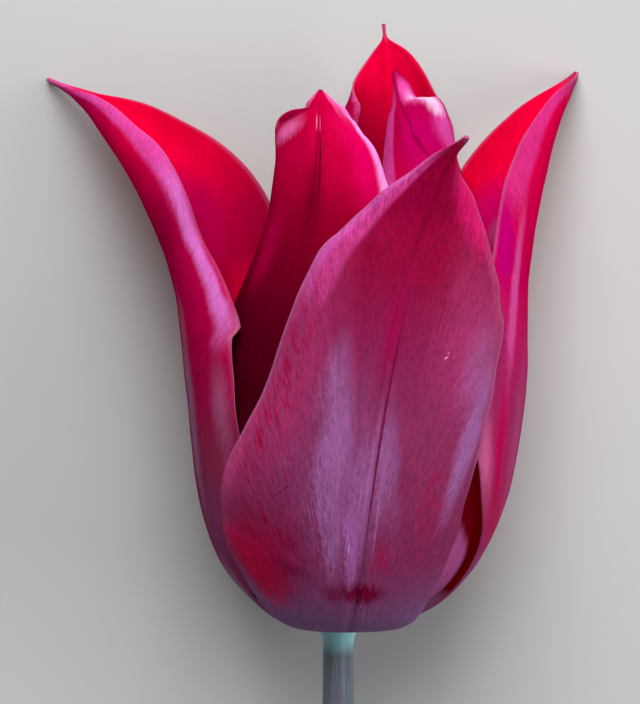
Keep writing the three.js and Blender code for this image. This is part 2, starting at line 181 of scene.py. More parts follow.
class PetalSheet:
    """The petal's middle surface: rows of points from claw to tip, each from left to right."""

    def __init__(self, stations, nips):
        part = np.linspace(0, 1, CELLS_ALONG + 1)
        here = stations_at(stations, part)
        for half, y, below, above, wider, rolled in nips:
            _, width, _, roll = HALVES[half]
            off = here[:, 1] - y
            amount = np.exp(-((off / np.where(off < 0, below, above)) ** 2))
            here[:, width] += wider * amount
            here[:, roll] += rolled * amount
        ahead = stations_at(stations, part + SLOPE_STEP)
        behind = stations_at(stations, part - SLOPE_STEP)
        along = unit((ahead - behind)[:, :3])
        facing = np.radians(here[:, FACING_COLUMN])
        right = np.stack([np.cos(facing), 0 * facing, -np.sin(facing)], axis=1)
        right = unit(right - (right * along).sum(1)[:, None] * along)
        inward = np.cross(along, right)

        steps = CELLS_ACROSS // 2 * STEPS_PER_CELL
        way = (np.arange(steps) + 0.5) / steps
        midrib = here[:, None, :3]
        halves = []
        widths = []
        for side, width, curl, roll in HALVES.values():
            turned = np.radians(here[:, curl, None]) * way
            turned = turned + np.radians(here[:, roll, None]) * way**ROLL_SHARPNESS
            sideways = side * np.cos(turned)[..., None] * right[:, None]
            moves = sideways + np.sin(turned)[..., None] * inward[:, None]
            step = np.maximum(here[:, width], NARROWEST_HALF) / steps
            walked = np.cumsum(moves * step[:, None, None], axis=1)
            halves.append(midrib + walked[:, STEPS_PER_CELL - 1 :: STEPS_PER_CELL])
            widths.append(here[:, width, None])
        self.points = np.concatenate([halves[0][:, ::-1], midrib, halves[1]], axis=1)
        self.across = np.broadcast_to(np.linspace(-1, 1, CELLS_ACROSS + 1), self.points.shape[:2])
        self.lateral = self.across * np.where(self.across < 0, widths[0], widths[1])
        gone = np.linalg.norm(np.diff(here[:, :3], axis=0), axis=1)
        run = np.concatenate([[0], np.cumsum(gone)])
        self.distance = np.broadcast_to(run[:, None], self.points.shape[:2])
        self.along = self.distance / run[-1]
        self.vein = self.lateral * np.exp(-VEIN_SPREAD * self.distance)

    def outward(self):
        return unit(np.cross(np.gradient(self.points, axis=1), np.gradient(self.points, axis=0)))


def ramp(value, start, end):
    """0 before start, 1 past end, with a smooth rise between."""
    f = np.clip((value - start) / (end - start), 0, 1)
    return f * f * (3 - 2 * f)


def bell(value, centre, width):
    return np.exp(-(((value - centre) / width) ** 2))


SEED_STEP = 17.3


def grain(points, size, seed):
    """Smooth noise from about -1 to 1, with features of the given size."""
    flat = points.reshape(-1, 3) / size + seed * SEED_STEP
    return np.array([noise.noise(Vector(p)) for p in flat]).reshape(points.shape[:-1])


# The relief of the petals, in mm. The midrib is a groove with a ridge on each side.
GROOVE_WIDTH = 0.4
RIDGE_FROM_MIDRIB = 1.1
RIDGE_WIDTH = 0.5
RIDGE_PER_GROOVE = 0.4
RIB_PITCH = 0.42
RIBBED_WIDTH = 1.1
BROAD_SWELL = 0.25
BROAD_SWELL_SIZE = 14
SMALL_SWELL = 0.10
SMALL_SWELL_SIZE = 5
RUFFLE = 0.5
RUFFLE_SIZE = 5.5
# How far the place where a margin takes its ruffles from the noise is from the midrib's.
RUFFLE_PLACE = 9


def petal_relief(sheet, seed, groove, ribs):
    """How far each point stands out from the smooth surface."""
    body = ramp(sheet.along, 0.04, 0.2) * (1 - ramp(sheet.along, 0.9, 1.0))
    ridges = bell(np.abs(sheet.lateral), RIDGE_FROM_MIDRIB, RIDGE_WIDTH)
    midrib = -groove * bell(sheet.lateral, 0, GROOVE_WIDTH) + RIDGE_PER_GROOVE * groove * ridges
    ribbing = ribs * np.cos(2 * np.pi * sheet.vein / RIB_PITCH) * bell(sheet.vein, 0, RIBBED_WIDTH)
    swell = BROAD_SWELL * grain(sheet.points, BROAD_SWELL_SIZE, seed)
    swell = swell + SMALL_SWELL * grain(sheet.points, SMALL_SWELL_SIZE, seed + 1)
    margin = RUFFLE_PLACE * np.sign(sheet.across)
    place = np.stack([sheet.distance, margin, 0 * sheet.distance], axis=-1)
    ruffle = RUFFLE * ramp(np.abs(sheet.across), 0.6, 1) * grain(place, RUFFLE_SIZE, seed + 2)
    return body * (midrib + ribbing + swell + ruffle)


def grid_mesh(name, points):
    """A mesh from a grid whose points are moved to the given rows."""
    rows, columns = points.shape[:2]
    grid = bmesh.new()
    bmesh.ops.create_grid(grid, x_segments=columns - 1, y_segments=rows - 1, size=1)
    mesh = bpy.data.meshes.new(name)
    grid.to_mesh(mesh)
    grid.free()
    mesh.vertices.foreach_set("co", placed(points.reshape(-1, 3)).ravel())
    mesh.update()
    return mesh


def add_map(mesh, name, across, along):
    """A UV map that holds two numbers of each point."""
    corner = np.zeros(len(mesh.loops), dtype=np.int32)
    mesh.loops.foreach_get("vertex_index", corner)
    values = np.stack([across.ravel()[corner], along.ravel()[corner]], axis=1)
    mesh.uv_layers.new(name=name).uv.foreach_set("vector", values.ravel())


def new_piece(name, mesh, materials, node):
    mesh.shade_smooth()
    piece = bpy.data.objects.new(name, mesh)
    bpy.context.scene.collection.objects.link(piece)
    for material in materials:
        mesh.materials.append(material)
    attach(piece, "root")
    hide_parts(node)
    return piece


PETAL_WALL = 0.5
MARGIN_WALL_SHARE = 0.4
WALL_THINS_FROM = 0.85
# The map of the veins holds the distance from the claw in centimetres.
MM_PER_CM = 10


def petal(name, materials, seed, groove, ribs):
    sheet = PetalSheet(PETAL_STATIONS[name], MARGIN_NIPS.get(name, ()))
    relief = petal_relief(sheet, seed, groove, ribs)
    points = sheet.points + relief[..., None] * sheet.outward()
    mesh = grid_mesh(name + "_skin", points)
    add_map(mesh, "outline", sheet.across, sheet.along)
    add_map(mesh, "veins", sheet.vein, sheet.distance / MM_PER_CM)
    piece = new_piece(name + "_skin", mesh, materials, name)

    fullness = piece.vertex_groups.new(name="fullness")
    full = 1 - ramp(np.abs(sheet.across), WALL_THINS_FROM, 1.0)
    for index, weight in enumerate(full.ravel()):
        fullness.add([index], float(weight), "REPLACE")
    wall = piece.modifiers.new("wall", "SOLIDIFY")
    wall.thickness = PETAL_WALL * MM
    wall.offset = 0
    wall.vertex_group = "fullness"
    wall.thickness_vertex_group = MARGIN_WALL_SHARE
    wall.material_offset = 1
    wall.material_offset_rim = 2


# The finishes

# The mix node has several sockets called A, B and Result, so those for colours go by number.
MIX_COLOUR_A = 6
MIX_COLOUR_B = 7
MIX_COLOUR_RESULT = 2


class Finish:
    """A material with one surface shader, and short ways to add the nodes that feed it."""

    def __init__(self, name):
        self.material = bpy.data.materials.new(name)
        self.material.use_nodes = True
        self.nodes = self.material.node_tree.nodes
        self.links = self.material.node_tree.links
        self.shader = self.nodes["Principled BSDF"]

    def put(self, socket, value):
        """Set a socket to a plain value, or link it to another socket."""
        if isinstance(value, bpy.types.NodeSocket):
            self.links.new(value, socket)
        else:
            socket.default_value = value

    def split(self, vector):
        node = self.nodes.new("ShaderNodeSeparateXYZ")
        self.links.new(vector, node.inputs[0])
        return node.outputs["X"], node.outputs["Y"], node.outputs["Z"]

    def map(self, name):
        node = self.nodes.new("ShaderNodeUVMap")
        node.uv_map = name
        return self.split(node.outputs["UV"])[:2]

    def place(self, stretch=(1000, 1000, 1000)):
        """The point on the piece in the part's own frame, in metres times the stretch."""
        where = self.nodes.new("ShaderNodeTexCoord")
        node = self.nodes.new("ShaderNodeMapping")
        self.links.new(where.outputs["Object"], node.inputs["Vector"])
        node.inputs["Scale"].default_value = stretch
        return node.outputs["Vector"]

    def point(self, x, y, z=0.0):
        node = self.nodes.new("ShaderNodeCombineXYZ")
        for socket, value in zip(node.inputs, (x, y, z)):
            self.put(socket, value)
        return node.outputs[0]

    def math(self, kind, a, b=0.0):
        node = self.nodes.new("ShaderNodeMath")
        node.operation = kind
        self.put(node.inputs[0], a)
        self.put(node.inputs[1], b)
        return node.outputs[0]

    def times(self, a, b):
        return self.math("MULTIPLY", a, b)

    def plus(self, a, b):
        return self.math("ADD", a, b)

    def size(self, a):
        return self.math("ABSOLUTE", a)

    def between(self, value, start, end, low=0.0, high=1.0):
        """A smooth change from low to high as the value goes from start to end."""
        node = self.nodes.new("ShaderNodeMapRange")
        node.interpolation_type = "SMOOTHSTEP"
        for socket, number in zip(node.inputs, (value, start, end, low, high)):
            self.put(socket, number)
        return node.outputs[0]

    def within(self, value, low, high, soft):
        """1 where the value lies from low to high, 0 outside, with soft ends."""
        rise = self.between(value, low - soft, low + soft)
        return self.times(rise, self.between(value, high - soft, high + soft, 1.0, 0.0))

    def noise(self, where, detail=3.0, roughness=0.55):
        node = self.nodes.new("ShaderNodeTexNoise")
        self.put(node.inputs["Vector"], where)
        self.put(node.inputs["Scale"], 1.0)
        self.put(node.inputs["Detail"], detail)
        self.put(node.inputs["Roughness"], roughness)
        return node.outputs["Fac"]

    def oval(self, place, centre, reach, full):
        """1 in the full middle part of an oval, fading to 0 at its outline."""
        node = self.nodes.new("ShaderNodeVectorMath")
        node.operation = "MULTIPLY_ADD"
        self.put(node.inputs[0], place)
        node.inputs[1].default_value = (1 / reach[0], 1 / reach[1], 0)
        node.inputs[2].default_value = (-centre[0] / reach[0], -centre[1] / reach[1], 0)
        length = self.nodes.new("ShaderNodeVectorMath")
        length.operation = "LENGTH"
        self.links.new(node.outputs[0], length.inputs[0])
        return self.between(length.outputs["Value"], full, 1.0, 1.0, 0.0)

    def mix(self, amount, a, b):
        """Colour a where the amount is 0, colour b where it is 1."""
        node = self.nodes.new("ShaderNodeMix")
        node.data_type = "RGBA"
        self.put(node.inputs["Factor"], amount)
        for socket, colour in ((node.inputs[MIX_COLOUR_A], a), (node.inputs[MIX_COLOUR_B], b)):
            self.put(socket, (*colour, 1) if isinstance(colour, tuple) else colour)
        return node.outputs[MIX_COLOUR_RESULT]

    def dim(self, colour, level):
        """The colour times a number."""
        node = self.nodes.new("ShaderNodeVectorMath")
        node.operation = "SCALE"
        self.put(node.inputs[0], colour)
        self.put(node.inputs["Scale"], level)
        return node.outputs[0]

    def fade(self, value, stops):
        """A colour that changes with the value, through (value, colour) stops."""
        node = self.nodes.new("ShaderNodeValToRGB")
        self.put(node.inputs[0], value)
        ramp_stops = node.color_ramp.elements
        while len(ramp_stops) < len(stops):
            ramp_stops.new(0.5)
        for stop, (position, colour) in zip(ramp_stops, stops):
            stop.position = position
            stop.color = (*colour, 1)
        return node.outputs["Color"]

    def bump(self, height, depth):
        node = self.nodes.new("ShaderNodeBump")
        self.put(node.inputs["Height"], height)
        self.put(node.inputs["Distance"], depth * MM)
        self.links.new(node.outputs[0], self.shader.inputs["Normal"])

    def set(self, **values):
        for name, value in values.items():
            self.put(self.shader.inputs[name.replace("_", " ")], value)


SCARLET = (0.84, 0.0, 0.045)
RED = (0.62, 0.0, 0.052)
CRIMSON = (0.44, 0.0, 0.052)
DEEP_CRIMSON = (0.30, 0.001, 0.042)
MAROON = (0.17, 0.0, 0.014)
BLACK_CHERRY = (0.07, 0.0, 0.006)
SPIKE = (0.10, 0.02, 0.06)
WINE = (0.27, 0.028, 0.11)
MAUVE = (0.28, 0.062, 0.19)
SLATE = (0.25, 0.10, 0.26)
ROSE = (0.42, 0.038, 0.155)
DUSKY_PINK = (0.55, 0.055, 0.21)
PINK = (0.70, 0.060, 0.32)
# A near-white pink for painted glints and highlights.
GLINT_PINK = (0.95, 0.55, 0.82)
# The pale rim along the margins, a painted highlight.
RIM = (0.58, 0.16, 0.36)
LILAC = (0.37, 0.12, 0.33)
# How far red, green and blue light spread inside a petal and inside the stem, in mm.
PETAL_FLESH = (1.6, 0.25, 0.4)
STEM_FLESH = (0.5, 0.8, 0.3)

# The colours of each petal's outside, in two numbers: across from the left margin (-1) to the
# right one (1), and along from the claw (0) to the tip (1). The body holds the colours from claw
# to tip. A patch is an oval with its colour and strength, its middle, its half lengths, and how
# far it leans to the right for each step along. A worn patch is broken into short strokes. A band
# follows a margin: its half, its inner and outer reach, its start and end, colour and strength.
# Most pink bands are painted highlights where a rolled margin faces the light. The rim is the
# strength of the pale margin, a painted highlight along the edge, and the grain that of the fine
# lines.
OUTSIDES = {
    "petal_front": {
        "body": [(0.0, SLATE), (0.12, SLATE), (0.18, MAUVE), (0.25, WINE), (0.5, WINE),
                 (0.62, (0.27, 0.012, 0.08)), (0.74, DEEP_CRIMSON), (0.92, (0.38, 0.0, 0.05)),
                 (0.985, CRIMSON), (0.996, (0.30, 0.04, 0.14))],
        "bands": [
            # Painted highlights along the lit margins: broad on the left, thin on the right.
            (-1, 0.66, 1.1, 0.66, 0.95, PINK, 0.85),
            (-1, 0.84, 1.1, 0.66, 0.94, (0.72, 0.13, 0.50), 0.6),
            (-1, 0.88, 1.1, 0.36, 0.68, DUSKY_PINK, 0.8),
            (1, 0.80, 1.1, 0.50, 0.84, DUSKY_PINK, 0.7),
        ],
        "patches": [
            (ROSE, 1.0, (0.66, 0.66), (0.55, 0.22), 0.0),
            ((0.74, 0.008, 0.15), 1.5, (0.80, 0.872), (0.56, 0.085), 0.0),
            (ROSE, 0.9, (-0.74, 0.52), (0.42, 0.30), 0.0),
            # Painted highlight on the left margin lower down.
            (DUSKY_PINK, 0.8, (-0.97, 0.36), (0.18, 0.17), 0.0),
            (MAUVE, 1.1, (-0.18, 0.38), (0.38, 0.24), -0.5),
            (LILAC, 1.6, (-0.26, 0.41), (0.16, 0.19), -0.4),
            (LILAC, 0.8, (-0.40, 0.55), (0.16, 0.10), -0.3),
            (LILAC, 0.9, (-0.04, 0.35), (0.13, 0.16), -0.3),
            (LILAC, 1.3, (-0.19, 0.29), (0.08, 0.10), -0.2),
            ((0.44, 0.13, 0.41), 1.6, (-0.07, 0.275), (0.055, 0.11), -0.3),
            (LILAC, 1.1, (0.000, 0.40), (0.030, 0.16), 0.0),
            (LILAC, 1.1, (0.085, 0.38), (0.030, 0.18), -0.2),
            (MAUVE, 1.1, (0.18, 0.41), (0.10, 0.19), -0.9),
            (LILAC, 0.8, (0.10, 0.41), (0.15, 0.14), -0.2),
            (LILAC, 1.4, (0.82, 0.47), (0.16, 0.20), 0.4),
            (LILAC, 0.6, (0.74, 0.60), (0.24, 0.12), 0.0),
            ((0.36, 0.002, 0.07), 1.1, (-0.01, 0.66), (0.10, 0.15), 0.0),
            # Two thin dark lines along the midrib: painted shade in its creases.
            ((0.17, 0.003, 0.045), 0.9, (0.040, 0.47), (0.014, 0.32), 0.0),
            ((0.17, 0.003, 0.045), 0.5, (-0.035, 0.62), (0.010, 0.20), 0.0),
            ((0.40, 0.006, 0.07), 1.4, (-0.70, 0.225), (0.44, 0.125), 0.0),
            ((0.56, 0.004, 0.06), 1.2, (-0.74, 0.200), (0.30, 0.10), 0.0),
            ((0.21, 0.002, 0.040), 1.5, (0.08, 0.194), (0.34, 0.030), 0.0),
            ((0.20, 0.004, 0.05), 0.7, (-0.17, 0.188), (0.12, 0.024), 0.0),
            ((0.20, 0.004, 0.05), 0.8, (-0.45, 0.222), (0.20, 0.022), -2.0),
            ((0.14, 0.004, 0.03), 0.9, (-0.535, 0.357), (0.009, 0.022), 3.2),
            # Tiny pale spots: painted glints.
            (GLINT_PINK, 0.9, (0.42, 0.615), (0.008, 0.004), 4.0),
            (GLINT_PINK, 0.6, (0.428, 0.624), (0.005, 0.002), 0.0),
            (GLINT_PINK, 0.6, (-0.078, 0.275), (0.004, 0.014), 0.0),
            ((0.26, 0.0, 0.035), 0.6, (0.31, 0.690), (0.010, 0.050), 0.2),
        ],
        "worn": [
            (MAUVE, 0.85, (-0.50, 0.33), (0.40, 0.16), 0.0),
            ((0.25, 0.004, 0.045), 0.9, (-0.55, 0.28), (0.40, 0.13), 0.0),
            ((0.36, 0.002, 0.05), 0.9, (-0.58, 0.26), (0.24, 0.13), 0.0),
            (CRIMSON, 0.85, (-0.80, 0.50), (0.26, 0.30), 0.0),
            (CRIMSON, 0.7, (0.60, 0.36), (0.22, 0.14), 0.0),
            (CRIMSON, 0.8, (0.20, 0.245), (0.16, 0.06), 0.0),
        ],
        "rim": 0.7,
        "grain": 1.0,
    },
    "petal_left": {
        "body": [(0.0, MAUVE), (0.22, (0.28, 0.032, 0.088)), (0.32, (0.29, 0.025, 0.08)),
                 (0.40, (0.40, 0.004, 0.07)), (0.5, (0.46, 0.0, 0.06)), (0.65, (0.44, 0.0, 0.055)),
                 (0.78, (0.76, 0.0, 0.055)), (0.92, (0.55, 0.0, 0.09)), (1.0, MAUVE)],
        "bands": [
            # Painted highlights on the rolled near margin: pink above, lilac lower down, and a small
            # pale glint.
            (1, 0.78, 1.1, 0.66, 0.92, PINK, 1.0),
            (1, 0.83, 0.955, 0.475, 0.70, (0.66, 0.15, 0.52), 1.0),
            (1, 0.975, 1.1, 0.478, 0.490, GLINT_PINK, 0.6),
        ],
        "patches": [
            ((0.52, 0.0, 0.08), 1.6, (1.0, 0.55), (0.075, 0.075), 0.0),
            ((0.42, 0.08, 0.20), 1.0, (0.86, 0.375), (0.14, 0.09), 0.0),
            ((0.32, 0.12, 0.24), 1.2, (0.38, 0.38), (0.16, 0.22), 0.0),
            (MAUVE, 0.6, (0.60, 0.22), (0.40, 0.10), 0.0),
            ((0.40, 0.16, 0.30), 0.9, (0.42, 0.13), (0.30, 0.07), 0.0),
            # A near-black slanting streak by the claw: painted shade where the near margin meets the
            # front petal.
            ((0.02, 0.0, 0.006), 1.6, (0.85, 0.086), (0.085, 0.026), -7.1),
        ],
        "rim": 0.25,
        "grain": 0.45,
    },
    "petal_right": {
        "body": [(0.0, MAUVE), (0.16, MAUVE), (0.25, (0.46, 0.02, 0.10)), (0.42, (0.37, 0.020, 0.12)),
                 (0.6, (0.55, 0.0, 0.075)), (0.75, RED), (0.9, RED), (1.0, MAUVE)],
        # The band is a painted highlight on the rolled near margin.
        "bands": [(-1, 0.74, 1.1, 0.69, 0.93, (0.56, 0.024, 0.185), 0.95)],
        "patches": [
            ((0.46, 0.0, 0.13), 1.3, (-0.90, 0.64), (0.20, 0.10), -1.0),
            ((0.36, 0.02, 0.11), 0.9, (-0.84, 0.50), (0.20, 0.10), -1.0),
            ((0.62, 0.11, 0.28), 1.2, (-0.94, 0.37), (0.16, 0.14), 0.0),
            ((0.52, 0.004, 0.075), 1.2, (-0.72, 0.36), (0.09, 0.15), 0.3),
            ((0.42, 0.07, 0.19), 0.8, (-0.42, 0.36), (0.20, 0.20), 0.0),
            # A paler streak along a ridge: painted highlight.
            ((0.60, 0.060, 0.26), 1.5, (-0.70, 0.575), (0.080, 0.16), -0.2),
            ((0.34, 0.03, 0.11), 1.0, (-0.85, 0.95), (0.6, 0.05), 0.0),
        ],
        "rim": 0.3,
        "grain": 0.5,
    },
    "petal_inner_left": {
        # Near black towards the claw: painted shade deep between the outer petals.
        "body": [(0.0, BLACK_CHERRY), (0.48, BLACK_CHERRY), (0.6, (0.12, 0.0, 0.011)),
                 (0.7, (0.19, 0.0, 0.015)), (0.8, (0.34, 0.0, 0.025)), (0.88, (0.55, 0.0, 0.045)),
                 (0.97, RED)],
        "bands": [
            # Painted highlights on the rolled right margin and along the dome by the tip.
            (1, 0.77, 1.1, 0.80, 0.985, (0.90, 0.30, 0.78), 1.0),
            (1, 0.55, 1.1, 0.965, 1.05, (0.90, 0.16, 0.46), 0.9),
            (-1, 0.55, 1.1, 0.965, 1.05, (0.90, 0.16, 0.46), 0.9),
        ],
        "patches": [
            # A brighter part on the left, where less painted shade falls.
            (CRIMSON, 0.9, (-0.34, 0.73), (0.20, 0.12), 0.0),
            ((0.86, 0.004, 0.13), 0.35, (0.50, 0.94), (0.40, 0.07), 0.0),
            # Two thin dark lines in the midrib groove: painted shade.
            ((0.08, 0.0, 0.006), 0.9, (0.070, 0.87), (0.014, 0.13), -0.4),
            ((0.08, 0.0, 0.006), 0.8, (0.010, 0.87), (0.012, 0.11), -0.4),
            # A pink ledge on the folded left corner: painted highlight.
            ((0.95, 0.14, 0.44), 1.1, (-0.40, 0.935), (0.26, 0.030), 6.0),
            ((0.30, 0.0, 0.03), 1.3, (-0.42, 0.960), (0.26, 0.012), 6.0),
            # A broad darker part round the groove: painted shade.
            ((0.20, 0.0, 0.014), 0.9, (0.03, 0.80), (0.16, 0.13), -0.4),
            ((0.70, 0.0, 0.11), 0.8, (0.62, 0.88), (0.26, 0.12), 0.0),
            # Two small pale spots in the groove: painted glints.
            ((0.90, 0.22, 0.42), 0.8, (-0.02, 0.945), (0.010, 0.018), 0.0),
            ((0.90, 0.22, 0.42), 0.8, (0.05, 0.943), (0.010, 0.018), 0.0),
            (SPIKE, 1.0, (0.0, 1.0), (0.6, 0.006), 0.0),
        ],
        "rim": 0.8,
        "grain": 0.3,
    },
    "petal_inner_right": {
        # From the claw's mauve the body turns dark maroon low down: painted shade deep in the cup.
        "body": [(0.0, MAUVE), (0.15, MAUVE), (0.3, MAROON), (0.5, MAROON), (0.7, DEEP_CRIMSON),
                 (0.85, CRIMSON), (1.0, (0.40, 0.0, 0.06))],
        # The band is a painted highlight on the rolled left margin.
        "bands": [(-1, 0.66, 1.1, 0.80, 0.955, (0.58, 0.05, 0.28), 0.9)],
        "patches": [
            ((0.50, 0.0, 0.11), 1.0, (0.0, 0.88), (0.60, 0.08), 0.0),
            # Pink and pale patches on the rolled right shoulder: painted highlights.
            ((0.70, 0.06, 0.32), 1.0, (0.46, 0.90), (0.22, 0.08), 0.0),
            ((0.80, 0.07, 0.36), 1.2, (0.25, 0.965), (0.80, 0.035), 0.0),
            ((0.92, 0.24, 0.55), 1.0, (0.42, 0.950), (0.45, 0.022), 0.0),
            (GLINT_PINK, 1.1, (0.40, 0.935), (0.20, 0.026), 0.0),
            ((0.66, 0.06, 0.34), 0.8, (0.42, 0.895), (0.26, 0.05), 0.0),
            # A dark line in the midrib groove: painted shade.
            ((0.25, 0.0, 0.035), 1.0, (-0.02, 0.90), (0.035, 0.09), -2.0),
            ((0.26, 0.0, 0.035), 1.5, (-0.27, 0.945), (0.07, 0.055), -6.0),
            # A lighter pink patch low down where the petal shows between the outer ones: painted light
            # on its lit part.
            ((0.50, 0.09, 0.30), 1.2, (0.0, 0.20), (0.42, 0.12), 0.0),
        ],
        "rim": 0.2,
        "grain": 0.35,
    },
    "petal_back": {
        "body": [(0.0, SLATE), (0.12, SLATE), (0.22, WINE), (0.6, ROSE), (0.85, CRIMSON), (1.0, MAUVE)],
        "bands": [
            # The pink bands are painted highlights on the rolled margins; the crimson band is the
            # margin's own colour.
            (-1, 0.86, 1.1, 0.3, 0.95, DUSKY_PINK, 0.6),
            (1, 0.62, 0.93, 0.6, 0.97, CRIMSON, 1.0),
            (1, 0.93, 1.1, 0.6, 0.97, (0.90, 0.08, 0.36), 1.0),
        ],
        "patches": [
            (LILAC, 0.6, (-0.15, 0.36), (0.20, 0.22), 0.0),
            (LILAC, 0.6, (0.20, 0.34), (0.16, 0.20), 0.0),
        ],
        "worn": [(CRIMSON, 0.6, (-0.6, 0.35), (0.4, 0.25), 0.0)],
        "rim": 0.5,
        "grain": 0.7,
    },
}
# The same for the insides, which all share one body and have no bands and no worn patches.
# The insides darken towards the claw: partly the real dark blotch at the base, partly painted shade
# deep in the cup.
INSIDE_BODY = [(0.0, BLACK_CHERRY), (0.3, BLACK_CHERRY), (0.5, MAROON), (0.58, (0.40, 0.0, 0.03)),
               (0.68, (0.46, 0.0, 0.045)), (0.78, SCARLET), (1.0, SCARLET)]
INSIDE_PATCHES = {
    "petal_front": [((0.50, 0.02, 0.12), 1.0, (0.0, 1.0), (2.0, 0.03), 0.0)],
    "petal_left": [
        # A brighter red patch low down: painted light where the cup is shaded.
        ((0.80, 0.0, 0.050), 0.85, (-0.70, 0.575), (0.22, 0.06), 0.0),
        ((0.44, 0.0, 0.065), 1.1, (-0.48, 0.69), (0.26, 0.11), 0.0),
        (PINK, 1.5, (0.0, 1.0), (2.0, 0.10), 0.0),
    ],
    "petal_right": [
        ((0.60, 0.0, 0.13), 1.0, (0.50, 0.735), (0.40, 0.075), 0.0),
        # A small lilac patch: painted gloss.
        ((0.40, 0.05, 0.19), 0.9, (0.42, 0.705), (0.12, 0.035), 0.0),
        ((0.40, 0.03, 0.12), 0.9, (0.0, 1.0), (2.0, 0.06), 0.0),
    ],
    "petal_back": [
        ((0.50, 0.0, 0.036), 1.0, (0.30, 0.82), (0.90, 0.11), 0.0),
        ((0.50, 0.08, 0.18), 0.9, (0.0, 1.0), (2.0, 0.03), 0.0),
    ],
}
# The strength of the insides' pale rim, a painted highlight along the margin.
INSIDE_RIM = 0.3
INSIDE_GRAIN = 0.25
# A painted glow (emission) on the inside of the cup and at the paler claw, standing in for daylight
# that comes through a petal.
GLOW = (0.060, 0.0, 0.0)
BASE_GLOW = (0.10, 0.028, 0.070)
NO_GLOW = (0.0, 0.0, 0.0)
INSIDE_GLOW = [(0.118, BASE_GLOW), (0.14, GLOW), (0.50, GLOW), (0.65, NO_GLOW)]
# Where the inner right petal's outside is painted in shade, near black with a faint painted glow: past
# a slanting line, and below a height.
PAINTED_SHADE_SLANT = 7.0
PAINTED_SHADE_LINE = (1.56, 1.78)
PAINTED_SHADE_TOP = (0.45, 0.60)
# How strongly a petal's finish stands out in relief, in mm.
OUTSIDE_BUMP = 0.10
INSIDE_BUMP = 0.03
# A patch with a half length below this is fine: its outline is clean, and not made ragged. The
# other two numbers are the part of a patch that has its full colour.
FINE_PATCH = 0.02
FINE_PATCH_FULL = 0.35
PATCH_FULL = 0.1
BAND_SIDE_SOFTNESS = 0.045
BAND_END_SOFTNESS = 0.035
RIM_ACROSS = (0.955, 0.99)
RIM_ALONG = (0.35, 0.5)
# The noises of a petal's finish, by their scale across and along the veins. The lines change from
# the low to the high scale between two distances from the claw.
LOW_LINES = (11, 4.5)
HIGH_LINES = (52, 4.5)
LINES_CHANGE = (2.5, 5.5)
SILK = (7.0, 0.7)
CLOUD = (3.0, 0.6)
STROKES = (5.0, 3.0)
NAP = (2300, 1100, 2300)
# How far the fine and the broad noise shift the outlines of bands and patches, at full grain.
FRAY_ACROSS = (0.10, 0.08)
FRAY_ALONG = (0.06, 0.05)
LEAST_FRAY = 0.2
# How much the weave thins a patch, and how much the lines darken and lighten, at full grain.
THINNING = 0.34
DARKENING = 0.20
LIGHTENING = 0.16


def drawn(f, vein, distance, seed, scale, roughness=0.6):
    """Noise drawn out along the veins."""
    place = f.point(f.times(vein, scale[0]), f.times(distance, scale[1]), seed)
    return f.noise(place, 4, roughness)


def streaks(f, vein, distance, seed):
    """Fine lines that fan out from the midrib, about as wide all the way up the petal."""
    low = drawn(f, vein, distance, seed, LOW_LINES, 0.65)
    high = drawn(f, vein, distance, seed + 1, HIGH_LINES, 0.65)
    up = f.between(distance, *LINES_CHANGE)
    return f.plus(f.times(low, f.math("SUBTRACT", 1.0, up)), f.times(high, up))


